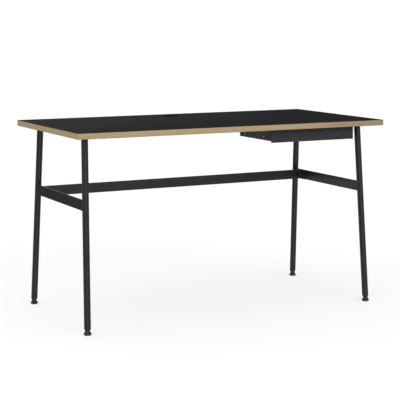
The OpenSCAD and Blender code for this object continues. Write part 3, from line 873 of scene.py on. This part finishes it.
def finish_cad_nodes():
    """The inner pieces that keep their CAD shape get the same finishes."""
    slots = {row["node"]: row["material_slot"] for row in frame["record"]["subparts"]}
    for name, obj in frame["nodes"].items():
        finish = FINISHES[slots[name]]
        if obj.data.materials:
            for index in range(len(obj.data.materials)):
                obj.data.materials[index] = finish
        else:
            obj.data.materials.append(finish)


# ---------------------------------------------------------------- studio
def floor():
    """A wide floor of backlit white acrylic, so that it stays pale under the desk.

    Gloss doesn't see it, but sees the room below the horizon.
    """
    bm = bmesh.new()
    reach = 400
    bm.faces.new([bm.verts.new((x, y, 0))
                  for x, y in ((-reach, -reach), (reach, -reach), (reach, reach), (-reach, reach))])
    mesh = bpy.data.meshes.new("studio_floor")
    bm.to_mesh(mesh)
    bm.free()
    made = bpy.data.objects.new("studio_floor", mesh)
    bpy.context.scene.collection.objects.link(made)
    material = finish_of("studio_acrylic", Base_Color=(0.36, 0.36, 0.36, 1), Roughness=1.0,
                         Specular_IOR_Level=0.0, Emission_Color=(1, 1, 1, 1), Emission_Strength=0.62)[0]
    mesh.materials.append(material)
    made.visible_glossy = False


def surround():
    """Plain white to the camera. Everything else is lit by a white room hung with black flags.

    The sky is dimmer overhead. One flag at the right rear is for the top, and a low one at the left rear is
    for the side bars. Below the horizon the room has a bright front, a dark back and a bright strip at the
    left rear.
    """
    world = bpy.data.worlds.new("studio_surround")
    bpy.context.scene.world = world
    world.use_nodes = True
    tree = world.node_tree
    towards = node(tree, "TexCoord").outputs["Generated"]
    upward = node(tree, "SeparateXYZ", {"Vector": towards}).outputs["Z"]
    # Round the compass from -X, through the front at 0.25, +X at 0.5 and the back at 0.75
    compass = node(tree, "TexGradient", {"Vector": towards}, gradient_type="RADIAL").outputs["Fac"]

    def flagged(shade, stops):
        """The shade multiplied by a ramp round the compass."""
        return mix(tree, 1.0, shade, ramp(tree, compass, stops), "MULTIPLY")

    sky = ramp(tree, upward, [(0.0, 1.0), (0.15, 1.0), (0.55, 0.4)])
    sky = flagged(sky, [(0.54, 1.0), (0.6, 0.0), (0.665, 0.0), (0.72, 1.25), (0.8, 1.25), (0.85, 1.0)])
    left_flag = flagged(sky, [(0.77, 1.0), (0.79, 0.0), (0.84, 0.0), (0.87, 1.0)])
    sky = mix(tree, span(tree, upward, 0.18, 0.3), left_flag, sky)
    low = ramp(tree, compass, [(0.0, 0.4), (0.09, 0.5), (0.15, 1.4), (0.25, 1.5), (0.31, 1.2), (0.39, 0.5),
                               (0.64, 0.4), (0.69, 0.03), (0.828, 0.0), (0.85, 1.5), (0.87, 2.2),
                               (0.93, 0.5)])
    room = mix(tree, span(tree, upward, -0.03, -0.01), low, sky)
    white = (1, 1, 1, 1)
    room = mix(tree, node(tree, "LightPath").outputs["Is Camera Ray"], room, white)
    background = tree.nodes["Background"]
    tree.links.new(room, background.inputs["Color"])
    background.inputs["Strength"].default_value = 1.03


def lamp(name, towards, strength, spread):
    """A distant soft light; towards points from the desk to it."""
    light = bpy.data.lights.new(name, "SUN")
    light.energy, light.angle = strength, math.radians(spread)
    made = bpy.data.objects.new(name, light)
    made.rotation_mode = "QUATERNION"
    made.rotation_quaternion = Vector(towards).to_track_quat("Z", "Y")
    bpy.context.scene.collection.objects.link(made)


def studio():
    floor()
    surround()
    lamp("front_softbox", (0.09, -1.0, 0.45), 1.5, 40)
    lamp("overhead_softbox", (-0.02, 0.1, 1.0), 1.1, 110)
    lamp("left_fill", (-1.0, -0.35, 0.6), 0.85, 60)
    bpy.context.scene.view_settings.view_transform = "Standard"


def camera():
    """The view from the front left, a little above the top, through a long lens."""
    data = bpy.data.cameras.new("camera")
    data.lens = 113.2
    data.sensor_width = 36
    data.clip_end = 1000
    made = bpy.data.objects.new("camera", data)
    place = Vector((-2.2814, -4.4281, 1.1537))
    towards = Vector((0.45264, 0.87966, -0.14598))
    turned = towards.to_track_quat("-Z", "Y").to_matrix().to_4x4()
    made.matrix_world = Matrix.Translation(place) @ turned
    bpy.context.scene.collection.objects.link(made)
    bpy.context.scene.camera = made


camera()
studio()
finish_cad_nodes()
tabletop()
cable_port()
legs()
weld_beads = bmesh.new()
side_bars(weld_beads)
top_rails(weld_beads)
crossbar(weld_beads)
piece("frame_weld_beads", weld_beads, "frame", "frame_black", [])
frame_fasteners()
feet()
housing()
tray()
drawer_front()
runners()
drawer_fasteners()
